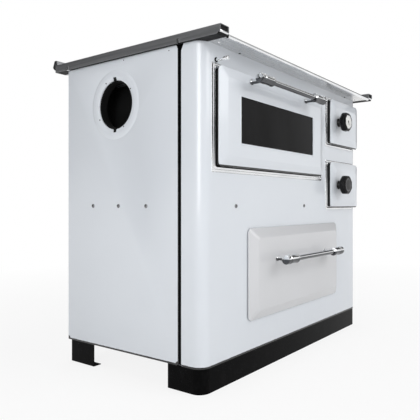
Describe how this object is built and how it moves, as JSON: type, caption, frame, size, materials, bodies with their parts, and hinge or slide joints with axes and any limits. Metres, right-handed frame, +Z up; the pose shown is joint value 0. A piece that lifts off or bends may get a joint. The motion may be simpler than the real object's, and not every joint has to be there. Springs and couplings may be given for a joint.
{
  "type": "wood cookstove",
  "caption": "Enamelled wood-burning cookstove with an oven, fire and ash doors, a fuel drawer, a flue damper and a cast-iron hotplate with lift-off rings.",
  "frame": {"origin": "centre of the bounding box, at floor level", "axes": "+X right along the front, +Y from the front to the back, +Z up; the doors face -Y"},
  "size_m": [0.9, 0.6384, 0.863],
  "materials": {
    "white_enamel": "glossy white vitreous enamel",
    "black_enamel": "glossy black enamel",
    "black_steel": "heat-resistant matt black paint",
    "stainless": "brushed along the length",
    "chrome": "polished",
    "cast_iron": "fine ground top, dark",
    "zinc_steel": "dull zinc coat",
    "oven_glass": "dark tinted heat-proof glass",
    "black_plastic": "moulded, slightly glossy",
    "white_dial": "smooth white",
    "grey_cap": "smooth dark grey",
    "firebrick": "dry, slightly rough",
    "seal": "glass-fibre rope"
  },
  "bodies": {
    "stove": {"plinth": "black_enamel", "rear_feet": "black_enamel", "base_pan": "zinc_steel", "deck": "zinc_steel", "corner_posts": "black_enamel", "front_panel": "white_enamel", "side_panel_left": "white_enamel", "side_panel_right": "white_enamel", "back_panel": "zinc_steel", "side_rail_left": "stainless", "side_rail_right": "stainless", "rail_cores": "black_steel", "rail_caps": "chrome", "guard_rod": "chrome", "top_frame": "stainless", "hotplate": "cast_iron", "rear_upstand": "stainless", "oven_bezel": "chrome", "fire_bezel": "chrome", "ash_bezel": "chrome", "hinges": "zinc_steel", "oven_box": "black_enamel", "oven_rack": "chrome", "baking_tray": "black_enamel", "oven_stand": "zinc_steel", "firebox_casing": "black_steel", "firebricks": "firebrick", "fire_grate": "cast_iron", "ash_pan": "zinc_steel", "smoke_box": "black_steel", "flue_collar": "black_steel", "drawer_runners": "zinc_steel", "damper_guide": "chrome", "panel_screws": "zinc_steel"},
    "oven_door": {"oven_door_skin": "white_enamel", "oven_door_trim": "chrome", "oven_door_glass": "oven_glass", "oven_door_inner": "black_steel", "oven_door_gasket": "seal", "oven_handle": "chrome"},
    "fire_door": {"fire_door_skin": "white_enamel", "fire_door_inner": "black_steel", "fire_door_gasket": "seal"},
    "fire_knob": {"fire_knob": "black_plastic", "fire_dial": "white_dial", "fire_latch": "zinc_steel"},
    "ash_door": {"ash_door_skin": "white_enamel", "ash_door_inner": "black_steel", "ash_door_gasket": "seal"},
    "ash_knob": {"ash_knob": "black_plastic", "ash_knob_cap": "grey_cap", "air_rosette": "zinc_steel"},
    "drawer": {"drawer_front": "white_enamel", "drawer_box": "zinc_steel", "drawer_handle": "chrome"},
    "damper": {"damper_rod": "chrome", "damper_slide": "zinc_steel"},
    "ring_outer": {"ring_outer": "cast_iron"},
    "ring_inner": {"ring_inner": "cast_iron"},
    "centre_lid": {"centre_lid": "cast_iron"}
  },
  "joints": [
    {"name": "oven_door_hinge", "type": "hinge", "parent": "stove", "child": "oven_door", "pos_m": [-0.125, -0.25019, 0.541], "axis": [1, 0, 0], "range_deg": [0, 90]},
    {"name": "fire_door_hinge", "type": "hinge", "parent": "stove", "child": "fire_door", "pos_m": [0.419, -0.24819, 0.7245], "axis": [0, 0, 1], "range_deg": [0, 110]},
    {"name": "ash_door_hinge", "type": "hinge", "parent": "stove", "child": "ash_door", "pos_m": [0.419, -0.24819, 0.5115], "axis": [0, 0, 1], "range_deg": [0, 110]},
    {"name": "fire_knob_turn", "type": "hinge", "parent": "fire_door", "child": "fire_knob", "pos_m": [0.25, -0.28219, 0.7245], "axis": [0, 1, 0], "range_deg": [0, 90]},
    {"name": "ash_knob_turn", "type": "hinge", "parent": "ash_door", "child": "ash_knob", "pos_m": [0.25, -0.28219, 0.5115], "axis": [0, 1, 0], "range_deg": [0, 45]},
    {"name": "drawer_slide", "type": "slide", "parent": "stove", "child": "drawer", "axis": [0, -1, 0], "range_m": [0, 0.33]},
    {"name": "damper_pull", "type": "slide", "parent": "stove", "child": "damper", "axis": [0, -1, 0], "range_m": [0, 0.06]},
    {"name": "ring_outer_lift", "type": "slide", "parent": "stove", "child": "ring_outer", "axis": [0, 0, 1], "range_m": [0, 0.12]},
    {"name": "ring_inner_lift", "type": "slide", "parent": "ring_outer", "child": "ring_inner", "axis": [0, 0, 1], "range_m": [0, 0.1]},
    {"name": "centre_lid_lift", "type": "slide", "parent": "ring_inner", "child": "centre_lid", "axis": [0, 0, 1], "range_m": [0, 0.08]}
  ]
}
